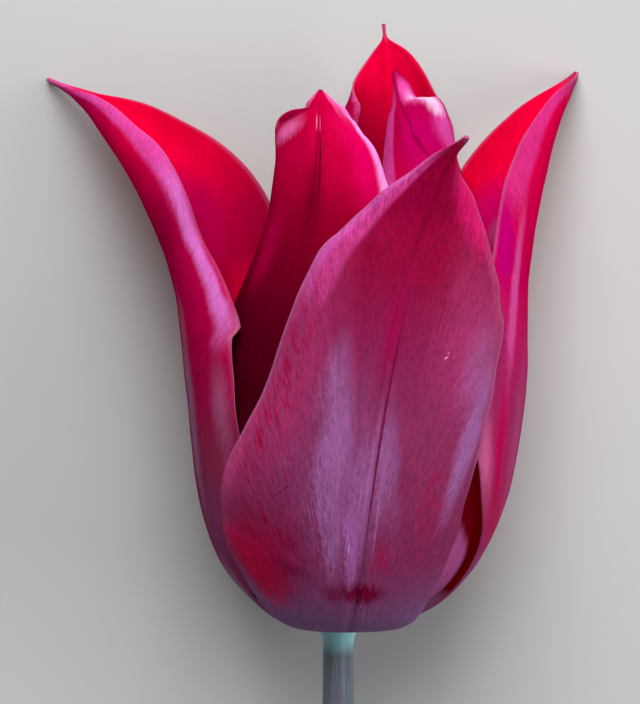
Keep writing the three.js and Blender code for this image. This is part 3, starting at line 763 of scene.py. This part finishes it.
def petal_body(f, look, seed):
    """The colour and the fine lines of a petal's face."""
    across, along = f.map("outline")
    vein, distance = f.map("veins")
    lines = streaks(f, vein, distance, seed)
    nap = f.noise(f.place(NAP), 3, 0.65)
    silk = drawn(f, vein, distance, seed + 7, SILK)
    cloud = drawn(f, vein, distance, seed + 3, CLOUD)
    strokes = drawn(f, vein, distance, seed + 5, STROKES, 0.7)
    cloth = f.plus(f.times(lines, 0.62), f.times(nap, 0.38))
    weave = f.plus(f.times(cloth, 0.6), f.times(silk, 0.4))
    centred = f.math("SUBTRACT", cloth, 0.5)
    drift = f.math("SUBTRACT", cloud, 0.5)
    ragged = LEAST_FRAY + (1 - LEAST_FRAY) * look["grain"]

    def frayed(value, fine, broad):
        """The number, shifted a little to and fro by the fine and the broad noise."""
        shift = f.plus(f.times(centred, fine * ragged), f.times(drift, broad * ragged))
        return f.plus(value, shift)

    ragged_across = frayed(across, *FRAY_ACROSS)
    ragged_along = frayed(along, *FRAY_ALONG)
    colour = f.fade(ragged_along, look["body"])
    cover = f.between(weave, 0.38, 0.58, 1 - THINNING * look["grain"], 1.0)
    broken = f.between(strokes, 0.46, 0.60)
    # Most bands are painted highlights along the rolled margins.
    for half, inner, outer, start, end, band_colour, strength in look.get("bands", []):
        band = f.within(f.times(ragged_across, float(half)), inner, outer, BAND_SIDE_SOFTNESS)
        band = f.times(band, f.within(ragged_along, start, end, BAND_END_SOFTNESS))
        colour = f.mix(f.times(f.times(band, strength), cover), colour, band_colour)
    for kind, wear in (("patches", cover), ("worn", broken)):
        for patch_colour, strength, centre, reach, lean in look.get(kind, []):
            fine = min(reach) < FINE_PATCH
            side = across if fine else ragged_across
            up = along if fine else ragged_along
            if lean:
                side = f.plus(side, f.times(up, -lean))
                centre = (centre[0] - lean * centre[1], centre[1])
            spot = f.oval(f.point(side, up), centre, reach, FINE_PATCH_FULL if fine else PATCH_FULL)
            amount = f.times(spot, strength)
            colour = f.mix(amount if fine else f.times(amount, wear), colour, patch_colour)
    # A pale rim along the margins: painted highlight.
    rim = f.times(f.between(f.size(across), *RIM_ACROSS), f.between(along, *RIM_ALONG))
    colour = f.mix(f.times(rim, look["rim"]), colour, RIM)
    dark = 1 - DARKENING * look["grain"]
    light = 1 + LIGHTENING * look["grain"]
    shade = f.between(cloth, 0.35, 0.65, dark, light)
    shade = f.times(shade, f.between(weave, 0.38, 0.62, 0.95, 1.05))
    return f.dim(colour, shade), cloth


def petal_outside(name, seed):
    f = Finish(name + "_outside")
    colour, cloth = petal_body(f, OUTSIDES[name], seed)
    f.set(Base_Color=colour, Roughness=f.between(cloth, 0.2, 0.8, 0.42, 0.60))
    f.set(Subsurface_Weight=0.2, Subsurface_Radius=PETAL_FLESH, Subsurface_Scale=MM)
    f.set(Specular_IOR_Level=0.03 if name == "petal_front" else 0.0)
    # The inner right petal's outside past a slanting line is painted in shade: near black, with a faint
    # painted glow.
    if name == "petal_inner_right":
        across, along = f.map("outline")
        deep = f.between(f.plus(across, f.times(along, PAINTED_SHADE_SLANT)), *PAINTED_SHADE_LINE)
        deep = f.times(deep, f.between(along, *PAINTED_SHADE_TOP, 1.0, 0.0))
        f.set(Base_Color=f.mix(deep, colour, BLACK_CHERRY))
        f.set(Emission_Color=f.mix(deep, NO_GLOW, GLOW), Emission_Strength=1.0)
    f.bump(cloth, OUTSIDE_BUMP * OUTSIDES[name]["grain"])
    return f.material


def petal_inside(name, seed):
    f = Finish(name + "_inside")
    patches = INSIDE_PATCHES.get(name, [])
    look = {"body": INSIDE_BODY, "patches": patches, "rim": INSIDE_RIM, "grain": INSIDE_GRAIN}
    colour, cloth = petal_body(f, look, seed)
    f.set(Base_Color=colour, Roughness=0.42, Specular_IOR_Level=0.0)
    f.set(Subsurface_Weight=0.2, Subsurface_Radius=PETAL_FLESH, Subsurface_Scale=MM)
    # Painted glow (emission) on the lower insides of these petals.
    if name in ("petal_right", "petal_back"):
        along = f.map("outline")[1]
        f.set(Emission_Color=f.fade(along, INSIDE_GLOW), Emission_Strength=1.0)
    f.bump(cloth, INSIDE_BUMP)
    return f.material


def petal_margin_finish():
    f = Finish("petal_margin")
    across, along = f.map("outline")
    mottle = f.noise(f.point(across, f.times(along, 40)))
    colour = f.mix(mottle, (0.46, 0.04, 0.13), (0.62, 0.14, 0.28))
    colour = f.mix(f.between(along, 0.1, 0.5), MAUVE, colour)
    f.set(Base_Color=colour, Roughness=0.5, Specular_IOR_Level=0.1)
    f.set(Subsurface_Weight=0.1, Subsurface_Scale=MM)
    return f.material


# Places along the part's length, in mm, over which a colour gives way to the next.
PALE_NECK_ALONG = (38.0, 41.0)
RECEPTACLE_ALONG = (43.5, 44.8)
STIGMA_ALONG = (61.6, 63.0)


def stem_skin_finish():
    f = Finish("stem_skin")
    lines = f.noise(f.place((4000, 90, 4000)), 4, 0.6)
    cloud = f.noise(f.place((500, 120, 500)), 3, 0.5)
    colour = f.mix(f.between(lines, 0.3, 0.7), (0.10, 0.14, 0.15), (0.20, 0.25, 0.29))
    colour = f.mix(f.between(cloud, 0.45, 0.75), colour, (0.17, 0.13, 0.20))
    along = f.split(f.place())[1]
    colour = f.mix(f.between(along, *PALE_NECK_ALONG), colour, (0.42, 0.86, 0.88))
    colour = f.mix(f.between(along, *RECEPTACLE_ALONG), colour, (0.42, 0.40, 0.24))
    f.set(Base_Color=colour, Roughness=0.5, Specular_IOR_Level=0.3)
    f.set(Subsurface_Weight=0.2, Subsurface_Radius=STEM_FLESH, Subsurface_Scale=MM)
    f.bump(f.plus(lines, cloud), 0.08)
    return f.material


def stem_cut_finish():
    f = Finish("stem_cut")
    pith = f.noise(f.place((1500, 1500, 1500)), 4, 0.6)
    colour = f.mix(f.between(pith, 0.35, 0.65), (0.42, 0.48, 0.26), (0.62, 0.66, 0.42))
    f.set(Base_Color=colour, Roughness=0.45, Subsurface_Weight=0.3, Subsurface_Scale=MM)
    f.bump(pith, 0.15)
    return f.material


def filament_finish():
    f = Finish("filament_skin")
    lines = f.noise(f.place((3500, 500, 3500)), 3, 0.6)
    colour = f.mix(lines, (0.030, 0.008, 0.040), (0.11, 0.035, 0.12))
    f.set(Base_Color=colour, Roughness=0.4, Specular_IOR_Level=0.4)
    f.bump(lines, 0.05)
    return f.material


def anther_finish():
    f = Finish("anther_pollen")
    dust = f.noise(f.place((6000, 6000, 6000)), 3, 0.7)
    cloud = f.noise(f.place((700, 700, 700)), 3, 0.5)
    colour = f.mix(f.between(dust, 0.35, 0.7), (0.012, 0.006, 0.014), (0.10, 0.055, 0.10))
    colour = f.mix(f.between(cloud, 0.55, 0.8, 0.0, 0.5), colour, (0.20, 0.13, 0.09))
    f.set(Base_Color=colour, Roughness=0.85, Specular_IOR_Level=0.2)
    f.bump(dust, 0.12)
    return f.material


def pistil_finish():
    f = Finish("pistil_skin")
    lines = f.noise(f.place((2500, 400, 2500)), 3, 0.6)
    dust = f.noise(f.place((5000, 5000, 5000)), 3, 0.7)
    along = f.split(f.place())[1]
    colour = f.mix(lines, (0.30, 0.34, 0.09), (0.46, 0.50, 0.18))
    stigma = f.mix(dust, (0.50, 0.44, 0.20), (0.72, 0.66, 0.38))
    colour = f.mix(f.between(along, *STIGMA_ALONG), colour, stigma)
    f.set(Base_Color=colour, Roughness=0.55, Subsurface_Weight=0.2, Subsurface_Scale=MM)
    f.bump(f.plus(lines, dust), 0.08)
    return f.material


# The depth of each petal's midrib groove and the height of its ribs, in mm.
PETAL_RELIEF = {
    "petal_front": (0.35, 0.10),
    "petal_left": (0.20, 0.06),
    "petal_right": (0.20, 0.06),
    "petal_inner_left": (0.22, 0.05),
    "petal_inner_right": (0.25, 0.06),
    "petal_back": (0.30, 0.08),
}
FINISH_SEED_STEP = 7.0
SHAPE_SEED_STEP = 5
margin = petal_margin_finish()
for number, (name, (groove, ribs)) in enumerate(PETAL_RELIEF.items()):
    finish_seed = number * FINISH_SEED_STEP
    faces = [petal_outside(name, finish_seed), petal_inside(name, finish_seed)]
    petal(name, faces + [margin], number * SHAPE_SEED_STEP, groove, ribs)

# The stem, the stamens and the pistil


def ring(centre, direction, wide, deep, side=(1, 0, 0)):
    """The place of one ring of a drawn-out skin: its middle, the way it faces and its half sizes."""
    facing = Vector(direction).normalized()
    depth = facing.cross(Vector(side)).normalized()
    across = depth.cross(facing)
    turn = Matrix((across * wide, depth * deep, facing)).transposed().to_4x4()
    return Matrix.Translation(Vector(centre)) @ turn


def drawn_out(name, rings, sides, outline=None):
    """A closed skin: a circle that is extruded from ring to ring. outline(place, angle) gives the
    reach of the section for the part of the way from 0 to 1 and the angle."""
    skin = bmesh.new()
    bmesh.ops.create_circle(skin, segments=sides, radius=1)
    loop = list(skin.edges)
    flat = Matrix.Identity(4)
    for count, matrix in enumerate(rings):
        if count:
            grown = bmesh.ops.extrude_edge_only(skin, edges=loop)["geom"]
            loop = [item for item in grown if isinstance(item, bmesh.types.BMEdge)]
        corners = list({corner for side in loop for corner in side.verts})
        bmesh.ops.transform(skin, matrix=flat.inverted(), verts=corners)
        for corner in corners:
            corner.co = corner.co.normalized()
            if outline:
                angle = np.arctan2(corner.co.y, corner.co.x)
                corner.co *= outline(count / (len(rings) - 1), angle)
        bmesh.ops.transform(skin, matrix=matrix, verts=corners)
        flat = matrix
    bmesh.ops.holes_fill(skin, edges=skin.edges, sides=0)
    bmesh.ops.recalc_face_normals(skin, faces=skin.faces)
    bmesh.ops.translate(skin, vec=Vector(BLOOM_AT), verts=skin.verts)
    bmesh.ops.scale(skin, vec=(MM, MM, MM), verts=skin.verts)
    mesh = bpy.data.meshes.new(name)
    skin.to_mesh(mesh)
    skin.free()
    return mesh


TO_THE_TIPS = Vector((0, 1, 0))
STEM_LENGTH = 165.0
STEM_EVEN_TOP = -2.4
STEM_LEVELS = 110
STEM_SIDES = 64
STEM_SWELL = 0.05
STEM_SWELL_SIZE = 9
STEM_SEED = 3
# Above this y the stem's rings stand square to the bloom.
STEM_SQUARE_FROM = -3
STEM_SAG_LENGTH = 128.0
STEM_SIDE_BEND = 5.0
STEM_RADIUS_TOP = 2.05
STEM_RADIUS_LOW = 2.3
COLLAR_RADIUS = 2.7
DISC_RADIUS = 4.2
DISC_BOTTOM = 2.9
DISC_TOP = 3.5
SEAT_GAP = 0.3


def stem_centre(y):
    """The stem leaves the petals level and sags until it lies on the surface."""
    sag = (BLOOM_AT[2] - STEM_RADIUS_LOW) * ramp(-y, 0, STEM_SAG_LENGTH)
    return Vector((-STEM_SIDE_BEND * (min(y, 0) / STEM_LENGTH) ** 2, y, -sag))


def stem_levels():
    """The y and the radius of each ring of the stem, from the cut end to the receptacle's top."""
    levels = []
    for y in np.linspace(-STEM_LENGTH, STEM_EVEN_TOP, STEM_LEVELS):
        swell = STEM_SWELL * grain(np.array([[0.0, y, 0.0]]), STEM_SWELL_SIZE, STEM_SEED)[0]
        widening = (STEM_RADIUS_LOW - STEM_RADIUS_TOP) * ramp(-y, 0, STEM_SAG_LENGTH)
        levels.append((y, STEM_RADIUS_TOP + widening + swell))
    # In each of these rows the second number is added to the radius of that part of the stem.
    cut_edge = [(0, -0.25), (0.08, -0.08), (0.25, 0)]
    neck = [(-1.6, 0.05), (-1.0, 0.2), (-0.4, 0.45)]
    collar = [(0.1, -0.05), (0.8, 0), (DISC_BOTTOM - 0.3, 0), (DISC_BOTTOM, 0.3)]
    disc_foot = [(DISC_BOTTOM + 0.1, -0.2), (DISC_BOTTOM + 0.3, 0)]
    disc = disc_foot + [(DISC_TOP - 0.1, -0.05), (DISC_TOP, -0.25)]
    levels[:1] = [(-STEM_LENGTH + rise, STEM_RADIUS_LOW + more) for rise, more in cut_edge]
    for rows, radius in ((neck, STEM_RADIUS_TOP), (collar, COLLAR_RADIUS), (disc, DISC_RADIUS)):
        levels += [(y, radius + more) for y, more in rows]
    return levels


def stem(materials):
    rings = []
    for y, radius in stem_levels():
        facing = stem_centre(y + 0.5) - stem_centre(y - 0.5) if y < STEM_SQUARE_FROM else TO_THE_TIPS
        rings.append(ring(stem_centre(y), facing, radius, radius))

    def ribbed(place, angle):
        """Broad and fine ribs and one dent along the stem."""
        ribs = 0.012 * np.cos(9 * angle) + 0.008 * np.cos(23 * angle + 2)
        return 1 + ribs - 0.03 * bell(angle, 1.9, 0.16)

    mesh = drawn_out("stem_skin", rings, STEM_SIDES, ribbed)
    new_piece("stem_skin", mesh, materials, "stem")
    for face in mesh.polygons:
        if len(face.vertices) > 4 and face.center.y < 0:
            face.material_index = 1


STAMEN_FACINGS = [5, 65, 125, 185, 245, 305]
STAMEN_RING_RADIUS = 3.45
FILAMENT_LENGTH = 9.0
FILAMENT_LEAN = np.radians(14)
FILAMENT_FOOT_DEPTH = 0.6
FILAMENT_SIDES = 24
ANTHER_LENGTH = 11.0
ANTHER_HALF_WIDTH = 1.35
ANTHER_HALF_DEPTH = 0.95
ANTHER_LEVELS = 41
ANTHER_SIDES = 48


def stamen_point(facing, distance):
    out = STAMEN_RING_RADIUS + distance * np.sin(FILAMENT_LEAN)
    foot = DISC_TOP + SEAT_GAP + FILAMENT_FOOT_DEPTH * np.sin(FILAMENT_LEAN)
    return Vector((out * np.sin(facing), foot + distance * np.cos(FILAMENT_LEAN), out * np.cos(facing)))


def stamen_rings(facing, profile):
    direction = stamen_point(facing, 1) - stamen_point(facing, 0)
    side = (np.cos(facing), 0, -np.sin(facing))
    rings = []
    for distance, wide, deep in profile:
        rings.append(ring(stamen_point(facing, distance), direction, wide, deep, side))
    return rings


def filament(number, facing, material):
    profile = [
        (0, 0.55, 0.45), (0.15, 0.68, 0.56), (0.6, 0.76, 0.6), (1.35, 0.85, 0.62), (2.8, 0.8, 0.57),
        (4.5, 0.7, 0.5), (6.2, 0.54, 0.42), (7.65, 0.4, 0.34), (8.6, 0.28, 0.26),
        (FILAMENT_LENGTH, 0.2, 0.2),
    ]
    mesh = drawn_out(f"filament_{number}_skin", stamen_rings(facing, profile), FILAMENT_SIDES)
    new_piece(f"filament_{number}_skin", mesh, [material], f"filament_{number}")


def anther(number, facing, material):
    """Two long pollen sacs side by side, with a seam along each and a groove between them."""
    profile = []
    for way in (1 - np.cos(np.linspace(0, np.pi, ANTHER_LEVELS))) / 2:
        full = max(1 - abs(2 * way - 1) ** 3.2, 0.004) ** 0.5
        distance = FILAMENT_LENGTH + SEAT_GAP + way * ANTHER_LENGTH
        profile.append((distance, ANTHER_HALF_WIDTH * full, ANTHER_HALF_DEPTH * full))

    def two_sacs(place, angle):
        waist = 0.30 * bell(abs(np.sin(angle)), 1, 0.25)
        seam = 0.10 * bell(abs(np.cos(angle)), 1, 0.03)
        return 1 - (waist + seam) * ramp(place, 0.02, 0.15) * (1 - ramp(place, 0.85, 0.98))

    mesh = drawn_out(f"anther_{number}_skin", stamen_rings(facing, profile), ANTHER_SIDES, two_sacs)
    new_piece(f"anther_{number}_skin", mesh, [material], f"anther_{number}")


PISTIL_HEIGHT = 20.0
PISTIL_LEVELS = 60
PISTIL_SIDES = 96
OVARY_RADIUS = 2.15
# The pistil from foot to top: the part of its height, the radius as a part of the ovary's, and
# how far its three lobes stand out.
PISTIL_PROFILE = np.array([
    (0, 0.68, 0.04), (0.02, 0.8, 0.05), (0.075, 0.98, 0.07), (0.3, 1.0, 0.1), (0.6, 0.94, 0.1),
    (0.78, 0.8, 0.1), (0.82, 0.78, 0.12), (0.85, 0.92, 0.18), (0.875, 1.12, 0.26), (0.905, 1.2, 0.3),
    (0.93, 1.24, 0.34), (0.955, 1.2, 0.36), (0.975, 1.0, 0.36), (0.99, 0.8, 0.34), (1.0, 0.45, 0.3),
])


def pistil(material):
    """A three-sided ovary under a stigma with three wavy lobes."""
    heights, radii, lobes = PISTIL_PROFILE.T
    places = np.linspace(0, 1, len(PISTIL_PROFILE))
    rings = []
    for way in np.linspace(0, 1, PISTIL_LEVELS):
        y = DISC_TOP + SEAT_GAP + PISTIL_HEIGHT * np.interp(way, places, heights)
        radius = OVARY_RADIUS * np.interp(way, places, radii)
        rings.append(ring((0, y, 0), TO_THE_TIPS, radius, radius))

    def lobed(place, angle):
        lobe = np.interp(place, places, lobes)
        frill = 0.05 * np.cos(21 * angle) * ramp(place, 0.55, 0.7)
        return (1 + lobe * np.cos(3 * angle) + frill) / (1 + 0.1 * ramp(place, 0.6, 0.8))

    mesh = drawn_out("pistil_skin", rings, PISTIL_SIDES, lobed)
    new_piece("pistil_skin", mesh, [material], "pistil")


stem([stem_skin_finish(), stem_cut_finish()])
filament_skin, anther_pollen = filament_finish(), anther_finish()
for number, facing in enumerate(np.radians(STAMEN_FACINGS), start=1):
    filament(number, facing, filament_skin)
    anther(number, facing, anther_pollen)
pistil(pistil_finish())

# The room

BLOOM_MIDDLE = (0, 0.09, 0.02)
FLOOR_SIZE = 6
PAPER_SPECKLE = (40, 40, 40)
PAPER_COLOURS = ((0.60, 0.60, 0.58), (0.64, 0.64, 0.62))
# Each light's name, place, size, power and colour. All of them aim at the middle of the bloom.
LIGHTS = [
    ("sky_light", (0.0, 0.55, 0.30), 0.35, 2.0, (0.96, 0.97, 1.0)),
    ("high_light", (0.0, 0.35, 0.60), 0.35, 1.9, (0.97, 0.98, 1.0)),
    ("side_light", (0.50, 0.09, 0.35), 0.40, 1.45, (0.97, 0.97, 1.0)),
]
AIR_COLOUR = (0.92, 0.96, 1.0, 1)
AIR_STRENGTH = 0.12


def soft_light(name, place, size, power, colour):
    lamp = bpy.data.lights.new(name, "AREA")
    lamp.shape = "SQUARE"
    lamp.size = size
    lamp.energy = power
    lamp.color = colour
    light = bpy.data.objects.new(name, lamp)
    light.location = place
    light.visible_camera = False
    aim = Vector(BLOOM_MIDDLE) - Vector(place)
    light.rotation_euler = aim.to_track_quat("-Z", "Y").to_euler()
    bpy.context.scene.collection.objects.link(light)


def room():
    bpy.ops.mesh.primitive_plane_add(size=FLOOR_SIZE, location=(0, 0, 0))
    floor = bpy.context.object
    floor.name = "floor"
    paper = Finish("floor_paper")
    speckle = paper.noise(paper.place(PAPER_SPECKLE))
    shade = paper.mix(speckle, *PAPER_COLOURS)
    paper.set(Base_Color=shade, Roughness=0.9)
    floor.data.materials.append(paper.material)
    for light in LIGHTS:
        soft_light(*light)
    world = bpy.data.worlds.new("room_air")
    world.use_nodes = True
    air = world.node_tree.nodes["Background"]
    air.inputs["Color"].default_value = AIR_COLOUR
    air.inputs["Strength"].default_value = AIR_STRENGTH
    bpy.context.scene.world = world
    bpy.context.scene.view_settings.view_transform = "Standard"


room()

# The camera looks straight down, square to the bloom, as the photograph looks level at it. Its
# height is above the bloom's axis, and the picture's middle and long side are taken there, in mm.
CAMERA_HEIGHT = 700.0
PICTURE_MIDDLE = (-2.4, 36.8)
PIXELS_HIGH = 704
PIXELS_PER_MM = 7.5
PICTURE_LONG_SIDE = PIXELS_HIGH / PIXELS_PER_MM
lens = bpy.data.cameras.new("camera")
lens.sensor_width = 36
lens.lens = lens.sensor_width * CAMERA_HEIGHT / PICTURE_LONG_SIDE
lens.clip_start = 0.05
lens.clip_end = 20
camera = bpy.data.objects.new("camera", lens)
camera.location = placed([*PICTURE_MIDDLE, CAMERA_HEIGHT])
bpy.context.scene.collection.objects.link(camera)
bpy.context.scene.camera = camera
